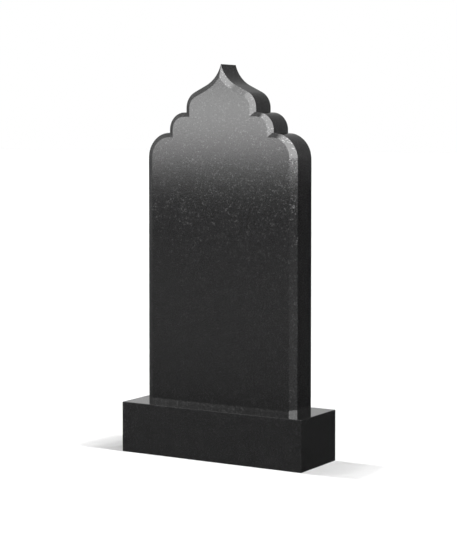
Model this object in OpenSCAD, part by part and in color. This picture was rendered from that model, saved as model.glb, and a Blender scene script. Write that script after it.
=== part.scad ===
// Headstone in polished black stone: a slab with a three-tier scalloped crown on a plain plinth.
// Millimetres. The origin is the middle of the plinth's underside, the front faces -Y, up is +Z.

/* [Plinth] */
// How far the plinth stands out past the slab on each side
side_ledge = 50; // [20:1:120]
// How far the plinth stands out past the slab, at the front and at the back
front_ledge = 55.5; // [20:0.5:120]
// Height of the plinth
plinth_h = 147; // [100:1:220]
// Width of the small broken edge round the plinth's top and upright edges
plinth_arris = 1.5; // [0.5:0.5:5]

/* [Slab] */
// Width of the slab across its straight sides
slab_w = 500; // [400:1:640]
// Height of the slab from the plinth to the tip of the crown
slab_h = 987; // [700:1:1300]
// Thickness of the slab
slab_t = 93; // [60:1:130]

/* [Crown] */
// Radius of the shoulder lobes, the lowest pair
shoulder_r = 75; // [55:1:95]
// Width across the second pair of lobes
middle_w = 348; // [300:1:390]
// Radius of the second pair of lobes
middle_r = 51; // [38:1:60]
// Rise from the top of the shoulder lobes to the top of the second pair
middle_rise = 59; // [52:1:80]
// Width of the dome
dome_w = 233.5; // [200:0.5:270]
// Radius of the dome's rounded haunches
dome_r = 51; // [40:1:62]
// Height of the dome's upright sides above the second pair of lobes
dome_stilt = 12.5; // [8:0.5:20]
// Rise of the dome from the second pair of lobes to the tip
dome_rise = 137.5; // [118:0.5:165]
// Slope of the dome's straight flanks above the level
flank_angle = 26; // [20:1:32]
// Angle between the axis and the hollow sides at the tip
tip_angle = 15; // [10:1:20]

/* [Chamfer] */
// Width of the front chamfer along the slab's straight sides, measured on the face
side_chamfer = 20; // [10:0.5:26]
// Depth of that chamfer, front to back; the whole chamfer keeps this one slope
side_chamfer_depth = 12.5; // [6:0.5:18]
// Width of the chamfer round the dome and down the sides of the second pair of lobes
crown_chamfer = 16; // [8:0.5:20]
// Width of the chamfer on the tops of both pairs of lobes
step_chamfer = 12.5; // [8:0.5:20]

/* [Hidden] */

stone = [0.13, 0.13, 0.14];
$fn = 96;

// Levels above the plinth, found downwards from the tip
middle_top = slab_h - dome_rise;
shoulder_top = middle_top - middle_rise;
dome_level = middle_top + dome_stilt;

slab_half = slab_w / 2;
middle_half = middle_w / 2;
dome_half = dome_w / 2;

// The plinth follows the slab it carries
plinth_w = slab_w + 2 * side_ledge;
plinth_d = slab_t + 2 * front_ledge;

// How far the chamfer widens on the face for each millimetre of depth
chamfer_slope = side_chamfer / side_chamfer_depth;
crown_chamfer_depth = crown_chamfer / chamfer_slope;

// The dome's haunch: its centre, and the direction square to the straight flank
haunch = [dome_half - dome_r, dome_level];
flank_normal = [sin(flank_angle), cos(flank_angle)];
flank_run = [-cos(flank_angle), sin(flank_angle)];

// The hollow side: the arc that leaves the flank smoothly and reaches the tip at tip_angle
hollow_r = ((slab_h - haunch.y) * flank_normal.y - haunch.x * flank_normal.x - dome_r)
    / (1 - cos(90 - flank_angle - tip_angle));
hollow = [hollow_r * cos(tip_angle), slab_h + hollow_r * sin(tip_angle)];
flank_length = (hollow - haunch) * flank_run;

flank_end = haunch + dome_r * flank_normal + flank_length * flank_run;

// How far a straight chamfer's cut runs on over the round corner next to it, where it is clear of it
lap = 5;
// How far a cut runs on past the stone, into the open
overrun = 1;
// How far the hollow bites into the straight flank, so that the two always cross
bite = 0.01;

// Both halves of something drawn on the right
module both_sides() {
    children();
    mirror([1, 0, 0]) children();
}

// Stands a shape drawn flat on the plinth: its y becomes height and its z comes to the front
module stand() {
    translate([0, slab_t / 2, plinth_h]) rotate([90, 0, 0]) children();
}

// Section of what the chamfer takes away, where it meets the front face at reach
module cut_section(reach) {
    behind = side_chamfer_depth + overrun;
    polygon([[reach - overrun * chamfer_slope, slab_t + overrun],
        [reach + behind * chamfer_slope, slab_t - behind],
        [reach + behind * chamfer_slope, slab_t + overrun]]);
}

// The chamfer's cut up a right-hand side, between two levels
module side_cut(reach, foot, top) {
    translate([0, top, 0]) rotate([90, 0, 0]) linear_extrude(top - foot) cut_section(reach);
}

// The cut along a level top
module top_cut(half, top) {
    translate([-half, 0, 0]) rotate([90, 0, 90]) linear_extrude(2 * half) cut_section(top);
}

// The cut round a corner, from the right-hand side upwards
module corner_cut(centre, r, angle) {
    translate(centre) rotate_extrude(angle = angle) cut_section(r);
}

// Outline of a tier: upright sides and level top, joined by a lobe at each upper corner
module tier_outline(half, foot, top, r) {
    translate([-half, foot]) square([2 * half, top - r - foot]);
    translate([r - half, foot]) square([2 * (half - r), top - foot]);
    both_sides() translate([half - r, top - r]) circle(r);
}

// A tier with its front chamfer, side_c wide at the sides and step_chamfer wide on top
module tier(half, foot, top, r, side_c) {
    inner_r = r - (side_c + step_chamfer) / 2;
    inner = [half - side_c - inner_r, top - step_chamfer - inner_r];
    difference() {
        linear_extrude(slab_t) tier_outline(half, foot, top, r);
        both_sides() {
            side_cut(half - side_c, foot - lap, inner.y + lap);
            corner_cut(inner, inner_r, 90);
        }
        top_cut(inner.x + lap, top - step_chamfer);
    }
}

// Outline of the dome: upright sides, round haunches, straight flanks and hollow curves to the tip
module dome_outline(foot) {
    translate([-dome_half, foot]) square([2 * dome_half, haunch.y - foot]);
    both_sides() difference() {
        union() {
            translate(haunch) circle(dome_r);
            polygon([[0, foot], [haunch.x, foot], haunch, haunch + dome_r * flank_normal,
                flank_end, flank_end + overrun * flank_normal, [0, slab_h + overrun]]);
        }
        translate(hollow) circle(hollow_r + bite);
    }
}

// The dome with its front chamfer, crown_chamfer wide all round
module dome(foot) {
    face_r = dome_r - crown_chamfer;
    difference() {
        linear_extrude(slab_t) dome_outline(foot);
        both_sides() {
            side_cut(dome_half - crown_chamfer, foot - lap, haunch.y + lap);
            corner_cut(haunch, face_r, 90 - flank_angle);
            translate(haunch - lap * flank_run) rotate([90, 0, 90 - flank_angle])
                mirror([0, 0, 1]) linear_extrude(flank_length + lap) cut_section(face_r);
            translate([hollow.x, hollow.y, slab_t - crown_chamfer_depth]) cylinder(
                h = crown_chamfer_depth + overrun, r1 = hollow_r + bite,
                r2 = hollow_r + bite + crown_chamfer + overrun * chamfer_slope);
        }
    }
}

// The slab: straight sides, two pairs of lobes and the dome, chamfered along the front
module slab() {
    color(stone) stand() {
        tier(slab_half, 0, shoulder_top, shoulder_r, side_chamfer);
        tier(middle_half, shoulder_top - shoulder_r, middle_top, middle_r, crown_chamfer);
        dome(middle_top - middle_r);
    }
}

// The plinth: a plain block, its top and upright edges broken by a small arris
module plinth() {
    color(stone) intersection() {
        linear_extrude(plinth_h) broken_square(plinth_w, plinth_d);
        rotate([90, 0, 90]) linear_extrude(plinth_w, center = true) broken_top(plinth_d);
        rotate([90, 0, 0]) linear_extrude(plinth_d, center = true) broken_top(plinth_w);
    }
}

// A rectangle with its four corners cut off by the arris
module broken_square(w, d) {
    a = plinth_arris;
    polygon([[a - w / 2, -d / 2], [w / 2 - a, -d / 2], [w / 2, a - d / 2], [w / 2, d / 2 - a],
        [w / 2 - a, d / 2], [a - w / 2, d / 2], [-w / 2, d / 2 - a], [-w / 2, a - d / 2]]);
}

// The plinth's upright section, with only its upper corners cut off
module broken_top(w) {
    a = plinth_arris;
    polygon([[-w / 2, 0], [w / 2, 0], [w / 2, plinth_h - a], [w / 2 - a, plinth_h],
        [a - w / 2, plinth_h], [-w / 2, plinth_h - a]]);
}

plinth();
slab();
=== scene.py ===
# %% [markdown]
# # A headstone in polished black granite
# The real object is two blocks of stone: a plinth, and an upright slab with a scalloped crown.
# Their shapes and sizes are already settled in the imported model, so this lesson is about looks:
# how a polished stone's edges, grain and reflections are made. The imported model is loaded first
# and kept as a fixed frame, in metres, with the front facing -Y and +Z up.

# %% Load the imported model
import math

import bmesh
import bpy
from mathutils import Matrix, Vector


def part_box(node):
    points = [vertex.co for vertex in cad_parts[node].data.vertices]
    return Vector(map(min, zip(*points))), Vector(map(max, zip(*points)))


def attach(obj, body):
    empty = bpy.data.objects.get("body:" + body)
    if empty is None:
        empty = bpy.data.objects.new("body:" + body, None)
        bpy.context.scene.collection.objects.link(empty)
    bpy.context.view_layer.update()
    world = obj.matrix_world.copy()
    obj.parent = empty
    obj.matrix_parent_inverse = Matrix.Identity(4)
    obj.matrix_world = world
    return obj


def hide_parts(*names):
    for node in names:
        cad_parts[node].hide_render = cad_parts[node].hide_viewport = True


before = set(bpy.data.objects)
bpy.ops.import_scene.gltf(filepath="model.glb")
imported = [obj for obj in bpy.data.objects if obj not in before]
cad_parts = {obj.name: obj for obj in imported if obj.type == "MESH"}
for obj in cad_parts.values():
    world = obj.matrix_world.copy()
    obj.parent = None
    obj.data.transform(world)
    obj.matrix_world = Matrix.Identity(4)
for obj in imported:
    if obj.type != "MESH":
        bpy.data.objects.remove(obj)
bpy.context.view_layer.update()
plinth_low, plinth_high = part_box("plinth")
slab_low, slab_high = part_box("slab")
print("plinth", [round(v, 4) for v in plinth_high - plinth_low])
print("slab", [round(v, 4) for v in slab_high - slab_low])

# %% [markdown]
# ## The camera
# The crown and the right-hand side both show, so the camera stands in front, to the right, at
# about the height of the shoulders. A long lens keeps the upright edges nearly parallel. The
# small downward shift frames the plinth without tipping the uprights out of true.

# %% Camera
CAMERA_PLACE = (2.4507, -4.0329, 0.9409)
CAMERA_TURN = math.radians(31.528)
CAMERA_DIP = math.radians(2.602)
LENS = 109.53
SHIFT = (0.0148, -0.117)

lens = bpy.data.cameras.new("camera")
lens.lens = LENS
lens.shift_x, lens.shift_y = SHIFT
camera = bpy.data.objects.new("camera", lens)
camera.location = CAMERA_PLACE
camera.rotation_euler = (math.pi / 2 - CAMERA_DIP, 0, CAMERA_TURN)
bpy.context.scene.collection.objects.link(camera)
bpy.context.scene.camera = camera
print("camera at", CAMERA_PLACE)

# %% [markdown]
# ## The granite
# Black granite is a tight mass of dark crystals with a few paler ones. A cell pattern gives every
# crystal a shade of its own, and a soft noise gathers the pale ones into loose drifts. The grain
# is wanted on any face of either block, so it is a node group with the sizes as its inputs, and
# it reads object coordinates, so that it runs through the stone and not along its skin.


# %% Node helpers
def new_group(name, inputs, outputs):
    group = bpy.data.node_groups.new(name, "ShaderNodeTree")
    for label, kind, value in inputs:
        socket = group.interface.new_socket(label, in_out="INPUT", socket_type=kind)
        socket.default_value = value
    for label, kind in outputs:
        group.interface.new_socket(label, in_out="OUTPUT", socket_type=kind)
    return group


def add(tree, kind, **settings):
    node = tree.nodes.new(kind)
    for name, value in settings.items():
        setattr(node, name, value)
    return node


def math_node(tree, operation, first, second):
    node = add(tree, "ShaderNodeMath", operation=operation)
    for socket, value in zip(node.inputs, (first, second)):
        if isinstance(value, bpy.types.NodeSocket):
            tree.links.new(value, socket)
        else:
            socket.default_value = value
    return node.outputs[0]


def remap(tree, value, low, high, to_low, to_high):
    node = add(tree, "ShaderNodeMapRange", clamp=True)
    tree.links.new(value, node.inputs["Value"])
    for name, setting in (("From Min", low), ("From Max", high), ("To Min", to_low), ("To Max", to_high)):
        if isinstance(setting, bpy.types.NodeSocket):
            tree.links.new(setting, node.inputs[name])
        else:
            node.inputs[name].default_value = setting
    return node.outputs["Result"]


print("helpers", [helper.__name__ for helper in (new_group, add, math_node, remap)])

# %% Crystal grain, as a group
DRIFT_NOISE = (0.3, 0.7)  # the part of the soft noise that counts
DRIFT_SHARES = (0.2, 1.8)  # how far it thins and crowds the pale crystals
PALE_FADE = 0.06


def build_grain():
    group = new_group(
        "crystal_grain",
        [
            ("Vector", "NodeSocketVector", (0, 0, 0)),
            ("Crystals per metre", "NodeSocketFloat", 420.0),
            ("Drifts per metre", "NodeSocketFloat", 60.0),
            ("Pale share", "NodeSocketFloat", 0.2),
        ],
        [("Shade", "NodeSocketFloat"), ("Pale", "NodeSocketFloat"), ("Height", "NodeSocketFloat")],
    )
    into, out = add(group, "NodeGroupInput"), add(group, "NodeGroupOutput")
    cells = add(group, "ShaderNodeTexVoronoi", feature="F1", voronoi_dimensions="3D")
    group.links.new(into.outputs["Vector"], cells.inputs["Vector"])
    group.links.new(into.outputs["Crystals per metre"], cells.inputs["Scale"])
    split = add(group, "ShaderNodeSeparateColor")
    group.links.new(cells.outputs["Color"], split.inputs["Color"])
    drift = add(group, "ShaderNodeTexNoise", noise_dimensions="3D")
    drift.inputs["Detail"].default_value = 3
    group.links.new(into.outputs["Vector"], drift.inputs["Vector"])
    group.links.new(into.outputs["Drifts per metre"], drift.inputs["Scale"])
    drifted = remap(group, drift.outputs["Fac"], *DRIFT_NOISE, *DRIFT_SHARES)
    share = math_node(group, "MULTIPLY", into.outputs["Pale share"], drifted)
    edge = math_node(group, "SUBTRACT", 1.0, share)
    higher = math_node(group, "ADD", edge, PALE_FADE)
    pale = remap(group, split.outputs["Red"], edge, higher, 0.0, 1.0)
    group.links.new(pale, out.inputs["Pale"])
    group.links.new(split.outputs["Green"], out.inputs["Shade"])
    relief = add(group, "ShaderNodeTexNoise", noise_dimensions="3D")
    relief.inputs["Detail"].default_value = 1
    group.links.new(into.outputs["Vector"], relief.inputs["Vector"])
    group.links.new(into.outputs["Crystals per metre"], relief.inputs["Scale"])
    group.links.new(relief.outputs["Fac"], out.inputs["Height"])
    return group


grain = build_grain()
print("group", grain.name, len(grain.nodes), "nodes")

# %% [markdown]
# ## The polish
# The faces are polished until they mirror the room, so the stone's own colour is almost lost
# behind the reflections and the roughness is the value that matters. The pale crystals are a
# little rougher and mirror more, so they glint. That glint hangs on a linked specular level, which
# an export may not keep. Only the undersides are left as they came from the saw: a mask of the
# faces that look down makes them greyer and dull.

# %% Polished granite material
CRYSTALS_PER_METRE = 400
DRIFTS_PER_METRE = 45
PALE_SHARE = 0.09
CRYSTAL_RELIEF = 0.00006
STONE_IOR = 1.5
BLACKEST = (0.007, 0.007, 0.0072, 1)
BLACK = (0.016, 0.016, 0.0165, 1)
PALE = (0.021, 0.021, 0.0215, 1)
ROUGHNESS = (0.06, 0.17)  # of the dark and of the pale crystals
GLINT = (0.5, 0.95)  # of the dark and of the pale crystals
SAWN_GREY = (0.10, 0.10, 0.105, 1)
SAWN_ROUGHNESS = 0.6
FACING_DOWN = -0.9


def polished_granite():
    material = bpy.data.materials.new("polished_granite")
    material.use_nodes = True
    tree = material.node_tree
    shader = tree.nodes["Principled BSDF"]
    shader.inputs["IOR"].default_value = STONE_IOR

    where = add(tree, "ShaderNodeTexCoord")
    crystals = add(tree, "ShaderNodeGroup", node_tree=grain)
    tree.links.new(where.outputs["Object"], crystals.inputs["Vector"])
    crystals.inputs["Crystals per metre"].default_value = CRYSTALS_PER_METRE
    crystals.inputs["Drifts per metre"].default_value = DRIFTS_PER_METRE
    crystals.inputs["Pale share"].default_value = PALE_SHARE

    dark = add(tree, "ShaderNodeMix", data_type="RGBA")
    dark.inputs["A"].default_value = BLACKEST
    dark.inputs["B"].default_value = BLACK
    tree.links.new(crystals.outputs["Shade"], dark.inputs["Factor"])
    flecked = add(tree, "ShaderNodeMix", data_type="RGBA")
    flecked.inputs["B"].default_value = PALE
    tree.links.new(dark.outputs["Result"], flecked.inputs["A"])
    tree.links.new(crystals.outputs["Pale"], flecked.inputs["Factor"])

    facing = add(tree, "ShaderNodeSeparateXYZ")
    tree.links.new(where.outputs["Normal"], facing.inputs["Vector"])
    sawn = math_node(tree, "LESS_THAN", facing.outputs["Z"], FACING_DOWN)
    stone = add(tree, "ShaderNodeMix", data_type="RGBA")
    stone.inputs["B"].default_value = SAWN_GREY
    tree.links.new(flecked.outputs["Result"], stone.inputs["A"])
    tree.links.new(sawn, stone.inputs["Factor"])
    tree.links.new(stone.outputs["Result"], shader.inputs["Base Color"])

    gloss = remap(tree, crystals.outputs["Pale"], 0.0, 1.0, *ROUGHNESS)
    dull = add(tree, "ShaderNodeMix", data_type="FLOAT")
    dull.inputs["B"].default_value = SAWN_ROUGHNESS
    tree.links.new(gloss, dull.inputs["A"])
    tree.links.new(sawn, dull.inputs["Factor"])
    tree.links.new(dull.outputs["Result"], shader.inputs["Roughness"])
    glint = remap(tree, crystals.outputs["Pale"], 0.0, 1.0, *GLINT)
    tree.links.new(glint, shader.inputs["Specular IOR Level"])

    tilt = add(tree, "ShaderNodeBump")
    tilt.inputs["Strength"].default_value = 1.0
    tilt.inputs["Distance"].default_value = CRYSTAL_RELIEF
    tree.links.new(crystals.outputs["Height"], tilt.inputs["Height"])
    tree.links.new(tilt.outputs["Normal"], shader.inputs["Normal"])
    return material


granite = polished_granite()
print("material", granite.name)

# %% [markdown]
# ## The slab's outline, in three tiers
# A saw and a profiling wheel follow a template made of arcs: two tiers with a lobe at each upper
# corner, and a dome whose haunches turn into hollow sides that meet in a point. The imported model
# has that shape, but its mesh cuts the arcs into coarse steps, and a mirror polish shows them. So
# the tiers are drawn again from their sizes in steps of one degree. Each rib joins a point of the
# outline to the point of the face straight across the chamfer, which gets deeper as it gets wider.

# %% Sizes of the tiers
SHOULDER_RADIUS = 0.075
MIDDLE_HALF = 0.174
MIDDLE_RISE = 0.059
MIDDLE_RADIUS = 0.051
DOME_HALF = 0.11675
DOME_RISE = 0.1375
DOME_STILT = 0.0125
DOME_RADIUS = 0.051
FLANK_ANGLE = 26
TIP_ANGLE = 15
SIDE_CHAMFER = 0.020
CROWN_CHAMFER = 0.016
STEP_CHAMFER = 0.0125
CHAMFER_SLOPE = 1.6
SLAB_FOOT = slab_low.z
TIP = slab_high.z
MIDDLE_TOP = TIP - DOME_RISE
SHOULDER_TOP = MIDDLE_TOP - MIDDLE_RISE
print("tops", [round(top, 4) for top in (SHOULDER_TOP, MIDDLE_TOP, TIP)])


# %% Ribs of a tier with lobes
def ray_at(turn):
    return Vector((math.cos(turn), math.sin(turn)))


def arc_turns(start, end):
    steps = math.ceil(abs(end - start))
    return [math.radians(start + (end - start) * i / steps) for i in range(steps + 1)]


def tier_ribs(half, foot, top, radius, side):
    """Right-hand ribs, from the foot to the middle of the top.

    A rib is a point of the outline, its depth, a point of the face and its depth.
    """
    inner = radius - (side + STEP_CHAMFER) / 2
    hub = Vector((half - side - inner, top - STEP_CHAMFER - inner))
    lobe = Vector((half - radius, top - radius))
    deep = side / CHAMFER_SLOPE
    ribs = [(Vector((half, z)), deep, Vector((half - side, z)), 0.0) for z in (foot, lobe.y)]
    for turn in arc_turns(0, 90):
        ray = ray_at(turn)
        across = ray.dot(lobe - hub)
        reach = across + math.sqrt(across**2 + radius**2 - (lobe - hub).length_squared)
        if (hub + ray * reach).x < lobe.x:
            reach = (top - hub.y) / ray.y
        ribs.append((hub + ray * reach, (reach - inner) / CHAMFER_SLOPE, hub + ray * inner, 0.0))
    ribs.append((Vector((0, top)), STEP_CHAMFER / CHAMFER_SLOPE, Vector((0, top - STEP_CHAMFER)), 0.0))
    return ribs


lobed_tiers = [
    tier_ribs(slab_high.x, SLAB_FOOT, SHOULDER_TOP, SHOULDER_RADIUS, SIDE_CHAMFER),
    tier_ribs(MIDDLE_HALF, SHOULDER_TOP - SHOULDER_RADIUS, MIDDLE_TOP, MIDDLE_RADIUS, CROWN_CHAMFER),
]
print("ribs", [len(ribs) for ribs in lobed_tiers])


# %% Ribs of the dome
def dome_ribs(half, foot, level, radius, flank, tip):
    """Right-hand ribs of the dome, from its foot to the tip.

    Near the tip the two chamfers meet in a ridge before they reach the face.
    """
    deep = CROWN_CHAMFER / CHAMFER_SLOPE
    hub = Vector((half - radius, level))
    ribs = [(Vector((half, foot)), deep, Vector((half - CROWN_CHAMFER, foot)), 0.0)]
    for turn in arc_turns(0, 90 - flank):
        ray = ray_at(turn)
        ribs.append((hub + ray * radius, deep, hub + ray * (radius - CROWN_CHAMFER), 0.0))
    square = Vector((math.sin(math.radians(flank)), math.cos(math.radians(flank))))
    bend = 1 - math.sin(math.radians(flank + tip))
    hollow = ((TIP - level) * square.y - hub.x * square.x - radius) / bend
    middle = Vector((hollow * math.cos(math.radians(tip)), TIP + hollow * math.sin(math.radians(tip))))
    ridge = math.acos(middle.x / (hollow + CROWN_CHAMFER))
    for turn in sorted([*arc_turns(90 - flank, tip), ridge], reverse=True):
        ray = ray_at(turn)
        reach = min(hollow + CROWN_CHAMFER, middle.x / ray.x)
        depth = (hollow + CROWN_CHAMFER - reach) / CHAMFER_SLOPE
        ribs.append((middle - ray * hollow, deep, middle - ray * reach, max(depth, 0.0)))
    return ribs


dome = dome_ribs(
    DOME_HALF, MIDDLE_TOP - MIDDLE_RADIUS, MIDDLE_TOP + DOME_STILT, DOME_RADIUS, FLANK_ANGLE, TIP_ANGLE
)
print("ribs", len(dome))

# %% [markdown]
# ## From ribs to one slab
# Three rings of points run round each tier: the back outline, the chamfer's outer edge and the
# face. Skinning them gives a closed block, and the three blocks joined are the slab. A mason then
# eases each sharp arris with a few strokes, because a knife edge of granite chips and cuts. That
# fine line catches the light, so the Bevel modifier eases every real edge, and weighted normals
# keep the flat faces dead flat.

# %% Tier blocks
WELD = 1e-6
ON_FACE = 1e-7


def tier_block(ribs):
    """A closed tier: the ribs mirrored, and skinned from the back to the face."""
    mirrored = [
        (Vector((-edge.x, edge.y)), edge_depth, Vector((-face.x, face.y)), face_depth)
        for edge, edge_depth, face, face_depth in reversed(ribs)
    ]
    form = bmesh.new()
    back, front = slab_high.y, slab_low.y
    rings = [
        (
            form.verts.new((edge.x, back, edge.y)),
            form.verts.new((edge.x, front + edge_depth, edge.y)),
            form.verts.new((face.x, front + face_depth, face.y)),
        )
        for edge, edge_depth, face, face_depth in ribs + mirrored
    ]
    for one, two in zip(rings, rings[1:]):
        for i in (0, 1):
            form.faces.new((one[i], two[i], two[i + 1], one[i + 1]))
    form.faces.new([ring[0] for ring in rings])
    form.faces.new([ring[2] for ring in rings if ring[2].co.y < front + ON_FACE])
    form.faces.new([*rings[0], *reversed(rings[-1])])
    bmesh.ops.remove_doubles(form, verts=form.verts, dist=WELD)
    bmesh.ops.dissolve_degenerate(form, dist=WELD, edges=form.edges)
    bmesh.ops.recalc_face_normals(form, faces=form.faces)
    mesh = bpy.data.meshes.new("tier")
    form.to_mesh(mesh)
    form.free()
    return mesh


blocks = [tier_block(ribs) for ribs in (*lobed_tiers, dome)]
print("block faces", [len(block.polygons) for block in blocks])


# %% The blocks joined
def into_mesh(source, modifiers):
    """The mesh that a stack of modifiers makes of the source mesh."""
    work = bpy.data.objects.new("work", source)
    bpy.context.scene.collection.objects.link(work)
    for kind, settings in modifiers:
        modifier = work.modifiers.new(kind, kind)
        for key, value in settings.items():
            setattr(modifier, key, value)
    bpy.context.view_layer.update()
    made = bpy.data.meshes.new_from_object(work.evaluated_get(bpy.context.evaluated_depsgraph_get()))
    bpy.data.objects.remove(work)
    return made


body = blocks[0]
for block in blocks[1:]:
    upper = bpy.data.objects.new("upper", block)
    bpy.context.scene.collection.objects.link(upper)
    body = into_mesh(body, [("BOOLEAN", {"object": upper, "operation": "UNION", "solver": "EXACT"})])
    bpy.data.objects.remove(upper)
print("joined faces", len(body.polygons))

# %% Slab
MERGE = 2e-5
FLAT = math.radians(0.1)
SLAB_ARRIS = 0.0008
REAL_EDGE = math.radians(18)
EASED = {"width": SLAB_ARRIS, "segments": 2, "limit_method": "ANGLE", "angle_limit": REAL_EDGE}
EVEN = {"mode": "FACE_AREA", "weight": 50, "keep_sharp": False}


def tidied(mesh):
    """Flat neighbours merged, and every face shaded smooth."""
    form = bmesh.new()
    form.from_mesh(mesh)
    bmesh.ops.remove_doubles(form, verts=form.verts, dist=MERGE)
    bmesh.ops.dissolve_limit(form, angle_limit=FLAT, verts=form.verts, edges=form.edges)
    for face in form.faces:
        face.smooth = True
    form.to_mesh(mesh)
    form.free()
    return mesh


def into_piece(name, source, modifiers):
    made = into_mesh(source, modifiers)
    made.name = name
    made.materials.clear()
    made.materials.append(granite)
    piece = bpy.data.objects.new(name, made)
    bpy.context.scene.collection.objects.link(piece)
    return piece


slab = into_piece("slab_stone", tidied(body), [("BEVEL", EASED), ("WEIGHTED_NORMAL", EVEN)])
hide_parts("slab")
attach(slab, "root")
print("slab", len(slab.data.polygons), "faces")

# %% [markdown]
# ## The plinth
# A plain block with its edges eased all round follows one rule, so Geometry Nodes can build it:
# put a tiny ball in each corner and stretch a skin over them. The skin is flat between the balls
# and round at every edge, and changing one size keeps the rounding true.

# %% Plinth tree
BALL_SEGMENTS = 16
BALL_RINGS = 8


def eased_block_tree():
    tree = bpy.data.node_groups.new("eased_block", "GeometryNodeTree")
    tree.interface.new_socket("Geometry", in_out="OUTPUT", socket_type="NodeSocketGeometry")
    for label, kind in (
        ("Size", "NodeSocketVector"),
        ("Middle", "NodeSocketVector"),
        ("Arris", "NodeSocketFloat"),
        ("Stone", "NodeSocketMaterial"),
    ):
        tree.interface.new_socket(label, in_out="INPUT", socket_type=kind)
    into, out = add(tree, "NodeGroupInput"), add(tree, "NodeGroupOutput")
    inset = add(tree, "ShaderNodeVectorMath", operation="SCALE")
    inset.inputs[0].default_value = (2, 2, 2)
    tree.links.new(into.outputs["Arris"], inset.inputs["Scale"])
    inner = add(tree, "ShaderNodeVectorMath", operation="SUBTRACT")
    tree.links.new(into.outputs["Size"], inner.inputs[0])
    tree.links.new(inset.outputs[0], inner.inputs[1])
    corners = add(tree, "GeometryNodeMeshCube")
    tree.links.new(inner.outputs[0], corners.inputs["Size"])
    ball = add(tree, "GeometryNodeMeshUVSphere")
    ball.inputs["Segments"].default_value = BALL_SEGMENTS
    ball.inputs["Rings"].default_value = BALL_RINGS
    tree.links.new(into.outputs["Arris"], ball.inputs["Radius"])
    balls = add(tree, "GeometryNodeInstanceOnPoints")
    tree.links.new(corners.outputs["Mesh"], balls.inputs["Points"])
    tree.links.new(ball.outputs["Mesh"], balls.inputs["Instance"])
    real = add(tree, "GeometryNodeRealizeInstances")
    skin = add(tree, "GeometryNodeConvexHull")
    place = add(tree, "GeometryNodeTransform")
    smooth = add(tree, "GeometryNodeSetShadeSmooth")
    whole = add(tree, "GeometryNodeRealizeInstances")
    paint = add(tree, "GeometryNodeSetMaterial")
    tree.links.new(balls.outputs[0], real.inputs[0])
    tree.links.new(real.outputs[0], skin.inputs[0])
    tree.links.new(skin.outputs[0], place.inputs["Geometry"])
    tree.links.new(into.outputs["Middle"], place.inputs["Translation"])
    tree.links.new(place.outputs[0], smooth.inputs["Geometry"])
    tree.links.new(smooth.outputs[0], whole.inputs[0])
    tree.links.new(whole.outputs[0], paint.inputs["Geometry"])
    tree.links.new(into.outputs["Stone"], paint.inputs["Material"])
    tree.links.new(paint.outputs[0], out.inputs[0])
    return tree


tree = eased_block_tree()
print("tree", tree.name, len(tree.nodes), "nodes")

# %% Plinth
PLINTH_ARRIS = 0.0015
host = bpy.data.objects.new("work", bpy.data.meshes.new("work"))
bpy.context.scene.collection.objects.link(host)
nodes = host.modifiers.new("block", "NODES")
nodes.node_group = tree
sockets = {s.name: s.identifier for s in tree.interface.items_tree if s.in_out == "INPUT"}
nodes[sockets["Size"]] = plinth_high - plinth_low
nodes[sockets["Middle"]] = (plinth_high + plinth_low) / 2
nodes[sockets["Arris"]] = PLINTH_ARRIS
nodes[sockets["Stone"]] = granite
bpy.context.view_layer.update()
block = bpy.data.meshes.new_from_object(host.evaluated_get(bpy.context.evaluated_depsgraph_get()))
bpy.data.objects.remove(host)
plinth = into_piece("plinth_stone", block, [("WEIGHTED_NORMAL", EVEN)])
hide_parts("plinth")
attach(plinth, "root")
print("plinth", len(plinth.data.polygons), "faces")

# %% [markdown]
# ## The floor
# A pale sheet runs far past the edge of the view. The stone doesn't mirror it, or the white ground
# would grey the lower half of every face.

# %% Floor
FLOOR_REACH = 60.0
FLOOR_PALE = (0.8, 0.8, 0.8, 1)
FLOOR_ROUGHNESS = 0.9


def floor_material():
    material = bpy.data.materials.new("pale_floor")
    material.use_nodes = True
    shader = material.node_tree.nodes["Principled BSDF"]
    shader.inputs["Base Color"].default_value = FLOOR_PALE
    shader.inputs["Roughness"].default_value = FLOOR_ROUGHNESS
    shader.inputs["Specular IOR Level"].default_value = 0.0
    return material


def stage_sheet(name, corners, faces, material):
    """A sheet that belongs to the stage and not to the stone."""
    mesh = bpy.data.meshes.new(name)
    mesh.from_pydata(corners, [], faces)
    mesh.materials.append(material)
    sheet = bpy.data.objects.new(name, mesh)
    bpy.context.scene.collection.objects.link(sheet)
    return sheet


floor_corners = [(x * FLOOR_REACH, y * FLOOR_REACH, 0) for x, y in ((-1, -1), (1, -1), (1, 1), (-1, 1))]
floor = stage_sheet("floor", floor_corners, [(0, 1, 2, 3)], floor_material())
floor.visible_glossy = False
print("floor", 2 * FLOOR_REACH, "m across")

# %% [markdown]
# ## The studio
# Polished stone shows what stands round it more than what shines on it, so most of the work is in
# what it mirrors. Tall glowing cards do that, and the camera doesn't see them. A card's glow is a
# colour ramp read by height. The front card is dim near its foot and bright higher up, and the
# height where it brightens is where the crown's sheen begins. It blends two ramps, because the
# lobes' chamfers sweep most of a card's height within a finger's width: they mirror its right-hand
# side, which stays even from there up to well overhead.


# %% Glow of a card
def shades_by_height(tree, height, stops, brightest):
    """A ramp up the card: stops are (height, strength) pairs, lowest first."""
    low, high = stops[0][0], stops[-1][0]
    shades = add(tree, "ShaderNodeValToRGB")
    while len(shades.color_ramp.elements) < len(stops):
        shades.color_ramp.elements.new(0.5)
    for element, (level, strength) in zip(shades.color_ramp.elements, stops):
        element.position = (level - low) / (high - low)
        element.color = (*[strength / brightest] * 3, 1)
    tree.links.new(remap(tree, height, low, high, 0.0, 1.0), shades.inputs["Fac"])
    return shades.outputs["Color"]


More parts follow.
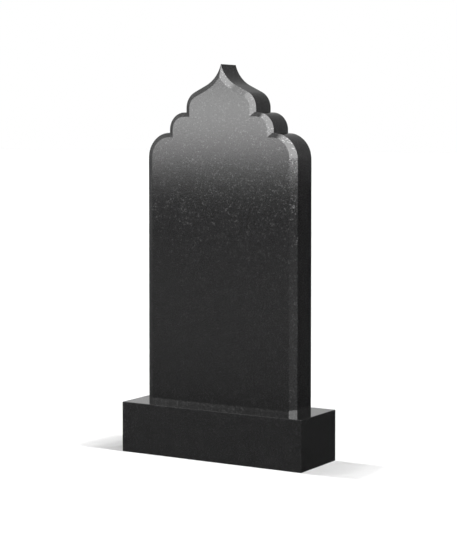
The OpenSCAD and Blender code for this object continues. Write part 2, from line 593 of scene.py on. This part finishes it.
def glow_material(name, left_stops, right_stops, across):
    """Emission that follows height, going from one set of stops to the other across the card."""
    material = bpy.data.materials.new(name)
    material.use_nodes = True
    tree = material.node_tree
    tree.nodes.clear()
    brightest = max(strength for _, strength in left_stops + right_stops)
    where = add(tree, "ShaderNodeTexCoord")
    split = add(tree, "ShaderNodeSeparateXYZ")
    tree.links.new(where.outputs["Object"], split.inputs[0])
    blend = add(tree, "ShaderNodeMix", data_type="RGBA")
    tree.links.new(remap(tree, split.outputs["X"], *across, 0.0, 1.0), blend.inputs["Factor"])
    tree.links.new(shades_by_height(tree, split.outputs["Z"], left_stops, brightest), blend.inputs["A"])
    tree.links.new(shades_by_height(tree, split.outputs["Z"], right_stops, brightest), blend.inputs["B"])
    glow = add(tree, "ShaderNodeEmission")
    glow.inputs["Strength"].default_value = brightest
    end = add(tree, "ShaderNodeOutputMaterial")
    tree.links.new(blend.outputs["Result"], glow.inputs["Color"])
    tree.links.new(glow.outputs[0], end.inputs["Surface"])
    return material


print("helpers", shades_by_height.__name__, glow_material.__name__)

# %% Cards
CARD_STEPS = 24
FRONT_LEFT_STOPS = [
    (-4, 0.25), (-1.7, 0.34), (-0.8, 0.5), (-0.2, 0.48), (0.2, 0.42), (0.4, 0.5), (0.6, 1.6), (0.85, 5.6),
    (1.0, 7.0), (1.4, 7.2), (1.6, 2.6), (1.8, 1.0), (3, 1.0), (6, 1.3), (30, 2.0),
]
FRONT_RIGHT_STOPS = [
    (-4, 0.55), (-1.7, 0.65), (-0.8, 0.8), (0.1, 0.6), (0.4, 0.35), (0.56, 0.5), (0.63, 2.0),
    (0.69, 8.0), (0.74, 9.8), (14, 9.8), (30, 8.0),
]
LEFT_STOPS = [(-4, 0.16), (-0.5, 0.22), (1.0, 0.5), (8, 1.3), (20, 1.5)]
BACK_LEFT_STOPS = [(0.9, 0.75), (3.4, 0.75)]
BACK_STOPS = [(-4, 0.08), (0.2, 0.08), (0.45, 0.1), (0.65, 0.24), (1.0, 0.36), (24, 0.4)]


def card(name, radius, bearings, left_stops, right_stops=None, across=(-1.0, 1.0)):
    """A glowing card bent round the stone, between two bearings in degrees from the front.

    Bearings count + to the right, and the card stands from its lowest stop to its highest.
    """
    start, end = bearings
    turns = [math.radians(start + (end - start) * i / CARD_STEPS) for i in range(CARD_STEPS + 1)]
    rim = [(radius * math.sin(turn), -radius * math.cos(turn)) for turn in turns]
    corners = [(x, y, stop[0]) for stop in (left_stops[0], left_stops[-1]) for x, y in rim]
    count = len(rim)
    faces = [(i, i + 1, i + 1 + count, i + count) for i in range(CARD_STEPS)]
    glow = glow_material(name, left_stops, right_stops or left_stops, across)
    piece = stage_sheet(name, corners, faces, glow)
    piece.visible_camera = False
    piece.visible_shadow = False
    piece.visible_diffuse = False
    return piece


cards = [
    card("front_card", 10.4, (-72, 72), FRONT_LEFT_STOPS, FRONT_RIGHT_STOPS, across=(-4.6, 0.0)),
    card("left_card", 10.6, (-125, -70), LEFT_STOPS),
    card("back_left_card", 10.6, (-178, -125), BACK_LEFT_STOPS),
    card("back_card", 11.0, (-235, -125), BACK_STOPS),
]
print("cards", [piece.name for piece in cards])

# %% [markdown]
# ## The light on the floor
# Soft lights on both sides, in line with the stone's width, give the plinth a short shadow at
# each end and none in front. A fan of soft suns does that and keeps the floor evenly lit as far
# as it goes. Real light from there would also draw a streak as long as the slab is tall, which
# clutters a plain ground. So this is a stage trick: only the plinth is named as a shadow blocker,
# and only the floor takes this light, which leaves the stone to the cards.

# %% Lights
# Lean from upright in degrees, + to the right, and strength
SUNS = {20: 0.55, 36: 1.0, 50: 1.9, -20: 0.35, -36: 0.75, -50: 1.5}
SUN_SOFTNESS = math.radians(8)
blockers = bpy.data.collections.new("shadow_blockers")
blockers.objects.link(plinth)
ground = bpy.data.collections.new("sunlit_ground")
ground.objects.link(floor)
for number, (lean, energy) in enumerate(SUNS.items()):
    sun = bpy.data.lights.new(f"sun_{number}", "SUN")
    sun.energy = energy
    sun.angle = SUN_SOFTNESS
    sun.specular_factor = 0.0
    lamp = bpy.data.objects.new(f"sun_{number}", sun)
    lamp.rotation_euler = (0, math.radians(lean), 0)
    lamp.light_linking.blocker_collection = blockers
    lamp.light_linking.receiver_collection = ground
    bpy.context.scene.collection.objects.link(lamp)
print("suns", len(SUNS))

# %% [markdown]
# ## The room
# The room itself is empty and white. Rays that reach it straight from the camera find plain white,
# those that leave the polish find it almost dark, so that only the cards show in the stone, and
# the rest give the floor a little light from every side.

# %% World
ROOM = {"seen": 1.0, "mirrored": 0.03, "fill": 0.03}
world = bpy.data.worlds.new("studio")
bpy.context.scene.world = world
world.use_nodes = True
sky = world.node_tree
sky.nodes.clear()
path = add(sky, "ShaderNodeLightPath")
end = add(sky, "ShaderNodeOutputWorld")
backgrounds = {}
for label, strength in ROOM.items():
    backgrounds[label] = add(sky, "ShaderNodeBackground")
    backgrounds[label].inputs["Color"].default_value = (1, 1, 1, 1)
    backgrounds[label].inputs["Strength"].default_value = strength
not_seen = add(sky, "ShaderNodeMixShader")
sky.links.new(path.outputs["Is Glossy Ray"], not_seen.inputs[0])
sky.links.new(backgrounds["fill"].outputs[0], not_seen.inputs[1])
sky.links.new(backgrounds["mirrored"].outputs[0], not_seen.inputs[2])
either = add(sky, "ShaderNodeMixShader")
sky.links.new(path.outputs["Is Camera Ray"], either.inputs[0])
sky.links.new(not_seen.outputs[0], either.inputs[1])
sky.links.new(backgrounds["seen"].outputs[0], either.inputs[2])
sky.links.new(either.outputs[0], end.inputs["Surface"])
bpy.context.scene.view_settings.view_transform = "Standard"
print("room white, view", bpy.context.scene.view_settings.view_transform)

# %% [markdown]
# ## Sizes
# The eased edges take a hair off the tip and nothing else, so the finished pieces must fill the
# imported model's box.

# %% Sizes
print("slab and plinth built")
